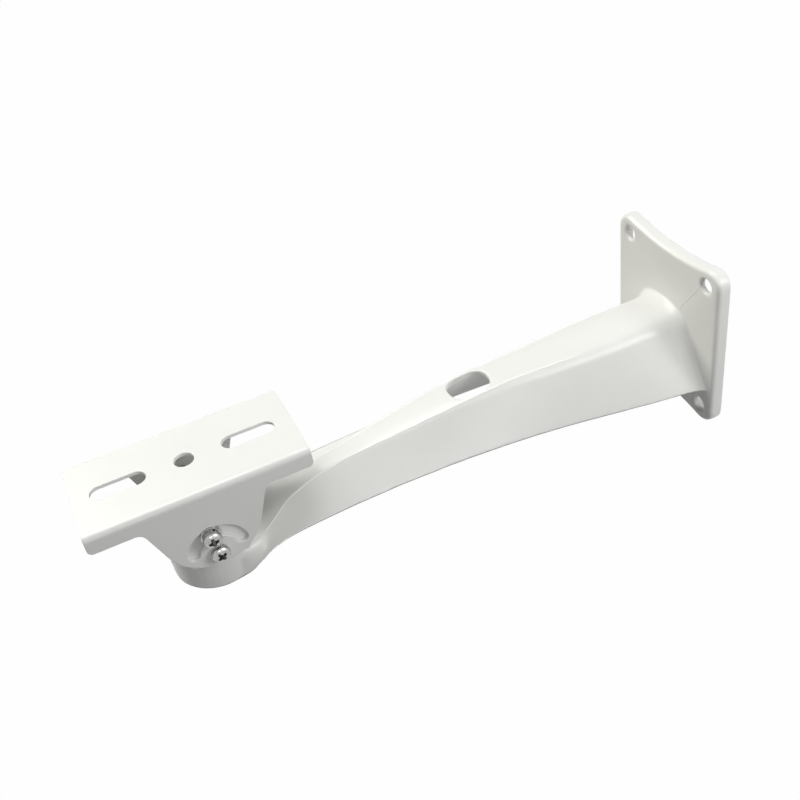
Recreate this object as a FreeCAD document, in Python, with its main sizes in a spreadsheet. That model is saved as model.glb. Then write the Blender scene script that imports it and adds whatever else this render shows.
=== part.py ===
import FreeCAD, Part
import math
import os
import Sketcher

# Camera wall bracket: a cast arm with a wall plate and a round pad, and on the pad a folded
# yoke and a folded saddle that carry the camera. The yoke turns on the pan bolt, and the
# saddle tilts on two pivot screws and is clamped by two lock screws in its arc slots.
# Frame: +Z up, the wall plane is Y = 0, the arm reaches towards -Y, and the origin is the
# centre of the wall plate's back face. Sizes are millimetres.

SIZES = [
    # Wall plate
    ("plate_width", 80.5, "across the wall plate"),
    ("plate_height", 88.6, "over the plate's four lobes"),
    ("plate_thick", 7.0, "plate, front to back"),
    ("plate_corner", 8.0, "radius of the plate's corners"),
    ("plate_dip", 3.2, "how far the top and bottom edges dip between the corners"),
    ("plate_round", 2.2, "rounding of the plate's front edge"),
    ("plate_rim", 3.5, "rim that stands on the wall around the plate's hollow back"),
    ("plate_wall", 3.0, "plate's wall in front of that hollow, and around the wall holes"),
    ("hole_span_x", 61.0, "wall holes, centre to centre, across"),
    ("hole_span_z", 71.0, "wall holes, centre to centre, upright"),
    ("hole_dia", 7.0, "wall hole"),
    ("hole_sink", 0.9, "chamfer round each wall hole"),
    # Arm
    ("arm_reach", 256.0, "wall to the head's upright axis"),
    ("arm_wall", 3.0, "wall of the hollow arm"),
    ("foot_inset", 2.4, "how far the hollow's open foot stands in from the arm's"),
    ("foot_below", 2.0, "how far the hollow's open foot is drawn below the arm's"),
    ("cable_slot_long", 20.6, "cable slot, end to end along the arm"),
    ("cable_slot_wide", 16.5, "cable slot, across"),
    ("cable_slot_corner", 7.4, "rounded corners of the cable slot"),
    ("cable_slot_place", 119.1, "wall to the cable slot's centre"),
    # Round pad
    ("pad_top", -15.0, "height of the pad's upper face"),
    ("pad_height", 17.6, "pad, top to bottom"),
    ("pad_radius", 21.3, "pad at its widest"),
    ("pad_draft", 0.4, "how much narrower the pad is at its bottom"),
    ("pad_rim", 1.6, "rounding of the pad's upper edge"),
    ("pad_web", 6.0, "metal under the pad's upper face"),
    ("pad_wall", 4.0, "wall round the recess under the pad"),
    # Saddle
    ("saddle_length", 100.0, "saddle plate along the arm"),
    ("saddle_width", 50.6, "saddle across, over its folded sides"),
    ("saddle_sheet", 1.8, "sheet of the saddle"),
    ("saddle_bend", 1.0, "inside radius of the saddle's folds"),
    ("strip_depth", 9.0, "depth of the folded side strips"),
    ("strip_corner", 2.5, "rounded lower corners of the strips"),
    ("cheek_fillet", 4.5, "inner corner between strip and cheek"),
    ("cheek_taper", 19.5, "slope of the cheek's edges, degrees"),
    ("tongue_radius", 22.3, "round end of each cheek"),
    ("tongue_drop", 19.9, "saddle top to the centre of that round"),
    ("pivot_drop", 34.2, "saddle top to the tilt axis"),
    ("pivot_rise", 9.2, "pad's upper face to the tilt axis"),
    ("arc_radius", 11.2, "tilt axis to the arc slot's centre line"),
    ("arc_slot_wide", 6.0, "arc slot, across"),
    ("arc_half_angle", 78.0, "arc slot, half its sweep, degrees"),
    ("lock_rise", 10.5, "tilt axis up to the lock screws"),
    ("lock_ahead", 1.4, "how far the lock screws stand ahead of the tilt axis"),
    ("mount_slot_long", 24.8, "camera slot, end to end"),
    ("mount_slot_wide", 8.6, "camera slot, across"),
    ("mount_slot_span", 59.2, "camera slots, centre to centre"),
    ("centre_hole_dia", 9.0, "centre hole in the saddle plate"),
    # Yoke
    ("yoke_gap", 0.1, "play between yoke and saddle cheek"),
    ("yoke_sheet", 2.0, "sheet of the yoke"),
    ("yoke_bend", 1.5, "inside radius of the yoke's folds"),
    ("yoke_round", 15.0, "round outline of the yoke's ears"),
    ("yoke_lift", 3.0, "how far the ears' upper round is raised"),
    # Fasteners
    ("play", 0.08, "radial play of a turning shank in its hole"),
    ("fit_gap", 0.05, "radial gap of a washer or nut on its shank"),
    ("screw_dia", 4.0, "tilt screws"),
    ("screw_length", 12.0, "tilt screw under its head"),
    ("screw_head_dia", 8.4, "pan head"),
    ("screw_head_tall", 3.4, "pan head"),
    ("cross_span", 4.6, "cross recess, tip to tip"),
    ("cross_arm", 1.2, "cross recess, arm width"),
    ("cross_depth", 1.7, "cross recess"),
    ("screw_nut_flats", 7.0, "nut of a tilt screw"),
    ("screw_nut_tall", 3.2, "nut of a tilt screw"),
    ("small_washer_dia", 9.4, "flat washer under a lock screw"),
    ("small_washer_thick", 1.0, "flat washer under a lock screw"),
    ("small_spring_dia", 7.4, "spring washer of a tilt screw"),
    ("small_spring_thick", 1.4, "spring washer of a tilt screw"),
    ("bolt_dia", 8.0, "pan bolt"),
    ("bolt_head_tall", 5.3, "pan bolt"),
    ("bolt_flats", 13.0, "pan bolt and its nut"),
    ("bolt_proud", 2.0, "thread showing above the pan nut"),
    ("pan_nut_tall", 6.5, "pan nut"),
    ("big_washer_dia", 16.0, "flat washer under the pan bolt's head"),
    ("big_washer_thick", 1.6, "flat washer under the pan bolt's head"),
    ("big_spring_dia", 14.0, "spring washer under the pan nut"),
    ("big_spring_thick", 2.0, "spring washer under the pan nut"),
    ("split_gap", 1.2, "cut through a spring washer"),
]

# The arm's cross sections from the wall plate to the pad: share of the free length, height
# of the crown, curvature across it, half spacing of the two ridges' centres, rounding of the
# ridges, half width and height of the foot, and how far the top flares out beyond that.
SECTIONS = [
    (-0.011, 7.4, 42.0, 6.6, 10.0, 38.2, -23.0, 6.4),
    (0.0022, 8.7, 42.0, 6.6, 10.0, 36.6, -23.3, 4.2),
    (0.011, 9.8, 42.0, 6.7, 10.0, 35.0, -23.6, 2.2),
    (0.0263, 10.6, 42.0, 6.8, 10.0, 33.4, -23.8, 0.6),
    (0.0571, 10.9, 42.0, 7.0, 10.0, 32.2, -23.7, 0.0),
    (0.1449, 10.4, 42.0, 7.8, 9.0, 30.1, -22.4, 0.0),
    (0.2985, 9.8, 42.0, 7.8, 7.2, 27.2, -18.8, 0.0),
    (0.4302, 9.2, 42.0, 7.0, 5.8, 25.5, -16.1, 0.0),
    (0.5487, 7.0, 42.0, 6.8, 5.0, 24.7, -14.6, 0.0),
    (0.6629, 3.1, 42.0, 5.4, 5.0, 24.0, -14.2, 0.0),
    (0.7682, -0.7, 42.0, 3.6, 5.0, 23.5, -14.6, 0.0),
    (0.8692, -5.4, 42.0, 3.4, 5.0, 23.2, -15.9, 0.0),
    (0.9438, -10.6, 60.0, 7.0, 5.0, 22.6, -18.1, 0.0),
    (0.9921, -15.3, 90.0, 12.0, 5.0, 21.9, -22.2, 0.0),
    (1.0272, -16.0, 120.0, 14.5, 5.0, 21.0, -28.4, 0.0),
    (1.0623, -16.4, 120.0, 14.5, 5.0, 20.0, -32.1, 0.0),
]
SECTION_COLUMNS = ("share", "crown", "bow", "ridge", "round", "foot_x", "foot_z", "flare")
HOLLOW_AT_WALL = 3
HOLLOW_SECTIONS = (5, 6, 7, 8, 9, 10, 11, 12)

doc = FreeCAD.newDocument("camera_wall_bracket")
sheet = doc.addObject("Spreadsheet::Sheet", "Sizes")


def fill_sheet():
    """Writes every size into the sheet, one row each, with its alias."""
    rows = list(SIZES)
    for index, section in enumerate(SECTIONS):
        for column, value in zip(SECTION_COLUMNS, section):
            rows.append(("section_%d_%s" % (index, column), value, "arm section"))
    for row, (alias, value, note) in enumerate(rows, start=1):
        sheet.set("A%d" % row, note)
        sheet.set("B%d" % row, str(value))
        sheet.setAlias("B%d" % row, alias)
    doc.recompute()


def size(alias):
    """The number that a cell holds."""
    return float(sheet.get(alias))


fill_sheet()


def make_body(name):
    """An empty body whose name is the sub-part's."""
    body = doc.addObject("PartDesign::Body", name)
    body.Label = name
    return body


def place(body, x_place="0", y_place="0", z_place="0"):
    """Puts a body at a point whose coordinates are expressions of the sheet."""
    body.setExpression("Placement.Base.x", x_place)
    body.setExpression("Placement.Base.y", y_place)
    body.setExpression("Placement.Base.z", z_place)


def add_sketch(body, name, role, offset="0"):
    """A sketch on one of the body's own planes, moved along its normal by an expression."""
    sketch = body.newObject("Sketcher::SketchObject", name)
    plane = [item for item in body.Origin.OriginFeatures if item.Role == role][0]
    sketch.AttachmentSupport = [(plane, "")]
    sketch.MapMode = "FlatFace"
    sketch.setExpression("AttachmentOffset.Base.z", offset)
    return sketch


def drawn_size(sketch, kind, where):
    """What a dimension measures on the geometry as it was drawn."""
    if kind in ("Radius", "Diameter"):
        return sketch.Geometry[where[0]].Radius * (2 if kind == "Diameter" else 1)
    move = sketch.getPoint(where[2], where[3]) - sketch.getPoint(where[0], where[1])
    return move.x if kind == "DistanceX" else move.y


def tie(sketch, kind, where, name, expression):
    """A named dimension of a sketch, driven by an expression of the sheet."""
    value = drawn_size(sketch, kind, where)
    index = sketch.addConstraint(Sketcher.Constraint(kind, *where, value))
    sketch.renameConstraint(index, name)
    sketch.setExpression("Constraints." + name, expression)


def join(sketch, kind, *where):
    """A constraint without a size."""
    sketch.addConstraint(Sketcher.Constraint(kind, *where))


def vector(u_place, v_place):
    return FreeCAD.Vector(u_place, v_place, 0)


def line(sketch, start, end):
    return sketch.addGeometry(Part.LineSegment(vector(*start), vector(*end)))


def arc(sketch, centre, radius, start_angle, end_angle):
    """An arc that runs anticlockwise between two angles in radians."""
    whole = Part.Circle(vector(*centre), FreeCAD.Vector(0, 0, 1), radius)
    return sketch.addGeometry(Part.ArcOfCircle(whole, start_angle, end_angle))


def angle_to(centre, point):
    return math.atan2(point[1] - centre[1], point[0] - centre[0])


def ring(sketch, name, radius, across="", up=""):
    """A round, on the sketch's origin unless its centre is given by expressions."""
    round_line = sketch.addGeometry(
        Part.Circle(vector(0, 0), FreeCAD.Vector(0, 0, 1), 1.0))
    tie(sketch, "Radius", (round_line,), name, radius)
    if across:
        tie(sketch, "DistanceX", (-1, 1, round_line, 3), name + "_across", across)
    else:
        join(sketch, "PointOnObject", round_line, 3, -2)
    if up:
        tie(sketch, "DistanceY", (-1, 1, round_line, 3), name + "_up", up)
    else:
        join(sketch, "PointOnObject", round_line, 3, -1)
    return round_line


def box(sketch, name, left, right, low, high):
    """A rectangle between four expressions."""
    sides = [line(sketch, (0, 0), (9, 0)), line(sketch, (9, 0), (9, 9)),
             line(sketch, (9, 9), (0, 9)), line(sketch, (0, 9), (0, 0))]
    for number in range(4):
        join(sketch, "Coincident", sides[number], 2, sides[(number + 1) % 4], 1)
        join(sketch, "Vertical" if number % 2 else "Horizontal", sides[number])
    tie(sketch, "DistanceX", (-1, 1, sides[0], 1), name + "_left", left)
    tie(sketch, "DistanceX", (-1, 1, sides[0], 2), name + "_right", right)
    tie(sketch, "DistanceY", (-1, 1, sides[0], 1), name + "_low", low)
    tie(sketch, "DistanceY", (-1, 1, sides[1], 2), name + "_high", high)


def chain(sketch, points):
    """A closed outline of straight lines."""
    sides = [line(sketch, point, points[(number + 1) % len(points)])
             for number, point in enumerate(points)]
    for number, side in enumerate(sides):
        join(sketch, "Coincident", side, 2, sides[(number + 1) % len(sides)], 1)
    return sides


def extrude(body, kind, sketch, name, length="", both=False, flip=False):
    """A Pad or Pocket of a sketch by a length, or through everything without one."""
    feature = body.newObject("PartDesign::" + kind, name)
    feature.Profile = sketch
    feature.Reversed = flip
    feature.Midplane = both
    if length:
        feature.setExpression("Length", length)
    else:
        feature.Type = "ThroughAll"
    doc.recompute()
    return feature


def turn(body, kind, sketch, name):
    """A Revolution or Groove of a sketch about its upright axis."""
    feature = body.newObject("PartDesign::" + kind, name)
    feature.Profile = sketch
    feature.ReferenceAxis = (sketch, ["V_Axis"])
    feature.Angle = 360.0
    doc.recompute()
    return feature


def dress(body, kind, base, name, test, expression):
    """A Fillet or Chamfer of the base's edges that pass a test."""
    edges = ["Edge%d" % (number + 1) for number, edge in enumerate(base.Shape.Edges)
             if test(edge)]
    if not edges:
        raise ValueError(name + " found no edge")
    feature = body.newObject("PartDesign::" + kind, name)
    feature.Base = (base, edges)
    feature.setExpression("Radius" if kind == "Fillet" else "Size", expression)
    doc.recompute()
    return feature


def loft(body, kind, sketches, name):
    feature = body.newObject("PartDesign::" + kind, name)
    feature.Profile = sketches[0]
    feature.Sections = sketches[1:]
    feature.Ruled = False
    doc.recompute()
    return feature


def slot(sketch, name, middle, straight, half_wide, start_middle):
    """A slot with round ends that runs along the sketch's upright axis."""
    high = arc(sketch, (0, start_middle + 4), 2, 0, math.pi)
    left = line(sketch, (-2, start_middle + 4), (-2, start_middle - 4))
    low = arc(sketch, (0, start_middle - 4), 2, math.pi, 2 * math.pi)
    right = line(sketch, (2, start_middle - 4), (2, start_middle + 4))
    join(sketch, "Tangent", high, 2, left, 1)
    join(sketch, "Tangent", left, 2, low, 1)
    join(sketch, "Tangent", low, 2, right, 1)
    join(sketch, "Tangent", right, 2, high, 1)
    join(sketch, "PointOnObject", high, 3, -2)
    join(sketch, "PointOnObject", low, 3, -2)
    join(sketch, "Equal", high, low)
    tie(sketch, "Radius", (high,), name + "_half_wide", half_wide)
    tie(sketch, "DistanceY", (low, 3, high, 3), name + "_straight", straight)
    tie(sketch, "DistanceY", (-1, 1, high, 3), name + "_end",
        "%s + (%s) / 2" % (middle, straight))


def soft_box(sketch, name, sign):
    """A rectangle with round corners, centred on the sketch's upright axis. Its length,
    width, corner radius and place are sizes whose names start with its own."""
    half_long = size(name + "_long") / 2
    half_wide = size(name + "_wide") / 2
    corner = size(name + "_corner")
    middle = sign * size(name + "_place")
    inner_x = half_wide - corner
    inner_y = half_long - corner
    right = line(sketch, (half_wide, middle - inner_y), (half_wide, middle + inner_y))
    upper_right = arc(sketch, (inner_x, middle + inner_y), corner, 0, math.pi / 2)
    high = line(sketch, (inner_x, middle + half_long), (-inner_x, middle + half_long))
    upper_left = arc(sketch, (-inner_x, middle + inner_y), corner, math.pi / 2, math.pi)
    left = line(sketch, (-half_wide, middle + inner_y), (-half_wide, middle - inner_y))
    lower_left = arc(sketch, (-inner_x, middle - inner_y), corner, math.pi, 1.5 * math.pi)
    low = line(sketch, (-inner_x, middle - half_long), (inner_x, middle - half_long))
    lower_right = arc(sketch, (inner_x, middle - inner_y), corner, 1.5 * math.pi, 2 * math.pi)
    around = (right, upper_right, high, upper_left, left, lower_left, low, lower_right)
    for one, other in zip(around, around[1:] + around[:1]):
        join(sketch, "Tangent", one, 2, other, 1)
    for upright in (right, left):
        join(sketch, "Vertical", upright)
    for level in (high, low):
        join(sketch, "Horizontal", level)
    for other in (upper_left, lower_left, lower_right):
        join(sketch, "Equal", upper_right, other)
    rule = "Sizes." + name
    middle_rule = ("-" if sign < 0 else "") + rule + "_place"
    tie(sketch, "Radius", (upper_right,), "corner", rule + "_corner")
    tie(sketch, "DistanceX", (-1, 1, right, 1), "right_side", rule + "_wide / 2")
    tie(sketch, "DistanceX", (left, 1, -1, 1), "left_side", rule + "_wide / 2")
    tie(sketch, "DistanceY", (-1, 1, high, 1), "high_side",
        "%s + %s_long / 2" % (middle_rule, rule))
    tie(sketch, "DistanceY", (-1, 1, low, 1), "low_side",
        "%s - %s_long / 2" % (middle_rule, rule))


def plate_outline(body, name, offset, inset):
    """The wall plate's outline: upright sides, round corners, dipped top and bottom. The
    hollow's outline is the same, inset by a named size."""
    inward = size(inset) if inset else 0
    less = " - Sizes." + inset if inset else ""
    more = " + Sizes." + inset if inset else ""
    corner = size("plate_corner")
    dip = size("plate_dip")
    half_wide = size("plate_width") / 2
    across = half_wide - corner
    up = size("plate_height") / 2 - corner
    bow = (across ** 2 + (corner - dip) ** 2 - corner ** 2) / (2 * dip)
    bow_centre = up + corner - dip + bow
    lean = angle_to((across, up), (0, bow_centre)) - math.pi
    corner = corner - inward
    half_wide = half_wide - inward
    bow = bow + inward
    sketch = add_sketch(body, name, "XZ_Plane", offset)
    right = line(sketch, (half_wide, -up), (half_wide, up))
    top_right = arc(sketch, (across, up), corner, 0, lean + math.pi)
    top = arc(sketch, (0, bow_centre), bow, -math.pi - lean, lean)
    top_left = arc(sketch, (-across, up), corner, -lean, math.pi)
    left = line(sketch, (-half_wide, up), (-half_wide, -up))
    low_left = arc(sketch, (-across, -up), corner, math.pi, 2 * math.pi + lean)
    low = arc(sketch, (0, -bow_centre), bow, -lean, math.pi + lean)
    low_right = arc(sketch, (across, -up), corner, math.pi - lean, 2 * math.pi)
    join(sketch, "Tangent", right, 2, top_right, 1)
    join(sketch, "Tangent", top_right, 2, top, 2)
    join(sketch, "Tangent", top, 1, top_left, 1)
    join(sketch, "Tangent", top_left, 2, left, 1)
    join(sketch, "Tangent", left, 2, low_left, 1)
    join(sketch, "Tangent", low_left, 2, low, 2)
    join(sketch, "Tangent", low, 1, low_right, 1)
    join(sketch, "Tangent", low_right, 2, right, 1)
    join(sketch, "Symmetric", top_right, 3, top_left, 3, -2)
    join(sketch, "Symmetric", low_right, 3, low_left, 3, -2)
    join(sketch, "Symmetric", top_right, 3, low_right, 3, -1)
    join(sketch, "PointOnObject", top, 3, -2)
    join(sketch, "PointOnObject", low, 3, -2)
    join(sketch, "Equal", top, low)
    join(sketch, "Equal", top_right, low_left)
    tie(sketch, "Radius", (top_right,), "corner", "Sizes.plate_corner" + less)
    tie(sketch, "DistanceX", (-1, 1, top_right, 3), "across",
        "Sizes.plate_width / 2 - Sizes.plate_corner")
    tie(sketch, "DistanceY", (-1, 1, top_right, 3), "upright",
        "Sizes.plate_height / 2 - Sizes.plate_corner")
    tie(sketch, "Radius", (top,), "bow",
        "((Sizes.plate_width / 2 - Sizes.plate_corner)^2"
        " + (Sizes.plate_corner - Sizes.plate_dip)^2 - Sizes.plate_corner^2)"
        " / (2 * Sizes.plate_dip)" + more)
    return sketch


def arm_section(body, name, index, offset, hollow=False):
    """One cross section of the arm: an open foot, two leaning sides, two round ridges and a
    crowned top. The hollow's section is the same shape, one wall further in."""
    def rule(alias):
        return "Sizes.section_%d_%s" % (index, alias)

    crown, bow, ridge_x, ridge_round, foot_x, foot_z, flare = [
        size("section_%d_%s" % (index, alias)) for alias in SECTION_COLUMNS[1:]]
    grow = " - Sizes.arm_wall" if hollow else " + " + rule("flare")
    grown = -size("arm_wall") if hollow else flare
    ridge_r = ridge_round + grown
    crown_z = crown - bow
    ridge_z = crown_z + math.sqrt((bow - ridge_round) ** 2 - ridge_x ** 2)
    foot = (foot_x - size("foot_inset"), foot_z - size("foot_below")) if hollow \
        else (foot_x, foot_z)
    span = math.hypot(foot[0] - ridge_x, foot[1] - ridge_z)
    side_angle = angle_to((ridge_x, ridge_z), foot) + math.acos(ridge_r / span)
    top_angle = angle_to((0, crown_z), (ridge_x, ridge_z))
    side_end = (ridge_x + ridge_r * math.cos(side_angle),
                ridge_z + ridge_r * math.sin(side_angle))
    sketch = add_sketch(body, name, "XZ_Plane", offset)
    low = line(sketch, (-foot[0], foot[1]), foot)
    right = line(sketch, foot, side_end)
    ridge_right = arc(sketch, (ridge_x, ridge_z), ridge_r, side_angle, top_angle)
    top = arc(sketch, (0, crown_z), bow + grown, top_angle, math.pi - top_angle)
    ridge_left = arc(sketch, (-ridge_x, ridge_z), ridge_r,
                     math.pi - top_angle, math.pi - side_angle)
    left = line(sketch, (-side_end[0], side_end[1]), (-foot[0], foot[1]))
    join(sketch, "Coincident", low, 2, right, 1)
    join(sketch, "Tangent", right, 2, ridge_right, 1)
    join(sketch, "Tangent", ridge_right, 2, top, 1)
    join(sketch, "Tangent", top, 2, ridge_left, 1)
    join(sketch, "Tangent", ridge_left, 2, left, 1)
    join(sketch, "Coincident", left, 2, low, 1)
    join(sketch, "Symmetric", low, 1, low, 2, -2)
    join(sketch, "Symmetric", ridge_left, 3, ridge_right, 3, -2)
    join(sketch, "PointOnObject", top, 3, -2)
    tie(sketch, "DistanceX", (-1, 1, low, 2), "foot_across",
        rule("foot_x") + (" - Sizes.foot_inset" if hollow else ""))
    tie(sketch, "DistanceY", (-1, 1, low, 2), "foot_height",
        rule("foot_z") + (" - Sizes.foot_below" if hollow else ""))
    tie(sketch, "DistanceX", (-1, 1, ridge_right, 3), "ridge_across", rule("ridge"))
    tie(sketch, "Radius", (ridge_right,), "ridge_round", rule("round") + grow)
    tie(sketch, "Radius", (top,), "crown_round", rule("bow") + grow)
    tie(sketch, "DistanceY", (-1, 1, top, 3), "crown_centre",
        rule("crown") + " - " + rule("bow"))
    return sketch


def section_place(index):
    """Where an arm section stands along the arm, as an expression."""
    return ("Sizes.plate_thick + Sizes.section_%d_share"
            " * (Sizes.arm_reach - Sizes.pad_radius - Sizes.plate_thick)" % index)


def build_arm():
    """The casting: wall plate, hollow arm and round pad."""
    body = make_body("cast_arm")
    outline = plate_outline(body, "plate_outline", "0", "")
    plate = extrude(body, "Pad", outline, "plate", "Sizes.plate_thick")
    front = -size("plate_thick")
    dress(body, "Fillet", plate, "plate_front_round",
          lambda edge: abs(edge.BoundBox.YMax - front) < 1e-4,
          "Sizes.plate_round")
    sections = [arm_section(body, "arm_section_%d" % index, index, section_place(index))
                for index in range(len(SECTIONS))]
    loft(body, "AdditiveLoft", sections, "arm")
    profile = add_sketch(body, "pad_profile", "XZ_Plane", "Sizes.arm_reach")
    top = size("pad_top")
    low = top - size("pad_height")
    rim = size("pad_rim")
    wide = size("pad_radius")
    slim = wide - size("pad_draft")
    axis_line = line(profile, (0, low), (0, top))
    top_line = line(profile, (0, top), (wide - rim, top))
    rim_arc = arc(profile, (wide - rim, top - rim), rim, 0, math.pi / 2)
    side = line(profile, (wide, top - rim), (slim, low))
    low_line = line(profile, (slim, low), (0, low))
    join(profile, "Coincident", axis_line, 2, top_line, 1)
    join(profile, "Coincident", top_line, 2, rim_arc, 2)
    join(profile, "Vertical", rim_arc, 2, rim_arc, 3)
    join(profile, "Coincident", rim_arc, 1, side, 1)
    join(profile, "Coincident", side, 2, low_line, 1)
    join(profile, "Coincident", low_line, 2, axis_line, 1)
    join(profile, "PointOnObject", axis_line, 1, -2)
    join(profile, "Vertical", axis_line)
    join(profile, "Horizontal", top_line)
    join(profile, "Horizontal", low_line)
    join(profile, "Horizontal", rim_arc, 1, rim_arc, 3)
    tie(profile, "Radius", (rim_arc,), "rim", "Sizes.pad_rim")
    tie(profile, "DistanceX", (-1, 1, side, 1), "wide", "Sizes.pad_radius")
    tie(profile, "DistanceX", (-1, 1, side, 2), "slim", "Sizes.pad_radius - Sizes.pad_draft")
    tie(profile, "DistanceY", (-1, 1, axis_line, 2), "top", "Sizes.pad_top")
    tie(profile, "DistanceY", (-1, 1, axis_line, 1), "low",
        "Sizes.pad_top - Sizes.pad_height")
    turn(body, "Revolution", profile, "round_pad")

    hollow = [arm_section(body, "hollow_section_at_wall", HOLLOW_AT_WALL, "-1", hollow=True)]
    hollow += [arm_section(body, "hollow_section_%d" % index, index, section_place(index),
                           hollow=True) for index in HOLLOW_SECTIONS]
    loft(body, "SubtractiveLoft", hollow, "arm_hollow")

    recess = add_sketch(body, "recess_profile", "XZ_Plane", "Sizes.arm_reach")
    box(recess, "recess", "0", "Sizes.pad_radius - Sizes.pad_draft - Sizes.pad_wall",
        "Sizes.pad_top - Sizes.pad_height - 1", "Sizes.pad_top - Sizes.pad_web")
    turn(body, "Groove", recess, "pad_recess")

    bore = add_sketch(body, "bore_profile", "XZ_Plane", "Sizes.arm_reach")
    box(bore, "bore", "0", "Sizes.bolt_dia / 2 + Sizes.play",
        "Sizes.pad_top - Sizes.pad_height", "Sizes.pad_top + 1")
    turn(body, "Groove", bore, "pan_bore")

    cable = add_sketch(body, "cable_slot_outline", "XY_Plane", "Sizes.plate_height / 2")
    soft_box(cable, "cable_slot", -1)
    extrude(body, "Pocket", cable, "cable_slot")

    back = plate_outline(body, "plate_hollow_outline", "Sizes.plate_thick - Sizes.plate_wall",
                         "plate_rim")
    extrude(body, "Pocket", back, "plate_hollow")

    holes = add_sketch(body, "wall_hole_rounds", "XZ_Plane", "Sizes.plate_thick")
    for name, across, up in (("upper_right", "", ""), ("upper_left", "-", ""),
                             ("lower_right", "", "-"), ("lower_left", "-", "-")):
        ring(holes, name, "Sizes.hole_dia / 2", across + "Sizes.hole_span_x / 2",
             up + "Sizes.hole_span_z / 2")
    wall_holes = extrude(body, "Pocket", holes, "wall_holes")
    hole_x = size("hole_span_x") / 2

    def at_hole(edge):
        bounds = edge.BoundBox
        return abs(bounds.YMin - front) < 1e-3 and abs(bounds.YMax - front) < 1e-3 \
            and abs(abs(bounds.Center.x) - hole_x) < 0.1 \
            and abs(bounds.XLength - size("hole_dia")) < 0.05

    dress(body, "Chamfer", wall_holes, "hole_sinks", at_hole, "Sizes.hole_sink")
    return body


def arch(sketch, half_wide, near, bend, far, sign):
    """A rectangle with two round corners on its near side, symmetric about the upright
    axis. The sign says whether it runs down (-1) or up (1) from there."""
    if sign < 0:
        near_right = arc(sketch, (8, -3), 2, 0, math.pi / 2)
        near_left = arc(sketch, (-8, -3), 2, math.pi / 2, math.pi)
        web_end, leg_end = 2, 1
    else:
        near_right = arc(sketch, (8, 3), 2, -math.pi / 2, 0)
        near_left = arc(sketch, (-8, 3), 2, math.pi, 3 * math.pi / 2)
        web_end, leg_end = 1, 2
    web = line(sketch, (8, sign), (-8, sign))
    right = line(sketch, (10, 3 * sign), (10, 30 * sign))
    far_line = line(sketch, (10, 30 * sign), (-10, 30 * sign))
    left = line(sketch, (-10, 30 * sign), (-10, 3 * sign))
    join(sketch, "Tangent", web, 1, near_right, web_end)
    join(sketch, "Tangent", web, 2, near_left, leg_end)
    join(sketch, "Tangent", near_right, leg_end, right, 1)
    join(sketch, "Tangent", near_left, web_end, left, 2)
    join(sketch, "Coincident", right, 2, far_line, 1)
    join(sketch, "Coincident", far_line, 2, left, 1)
    join(sketch, "Horizontal", web)
    join(sketch, "Vertical", right)
    join(sketch, "Symmetric", far_line, 1, far_line, 2, -2)
    join(sketch, "Symmetric", near_left, 3, near_right, 3, -2)
    tie(sketch, "Radius", (near_right,), "bend", bend)
    tie(sketch, "DistanceX", (-1, 1, right, 2), "half_wide", half_wide)
    tie(sketch, "DistanceY", (-1, 1, web, 1), "near", near)
    tie(sketch, "DistanceY", (-1, 1, right, 2), "far", far)


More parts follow.
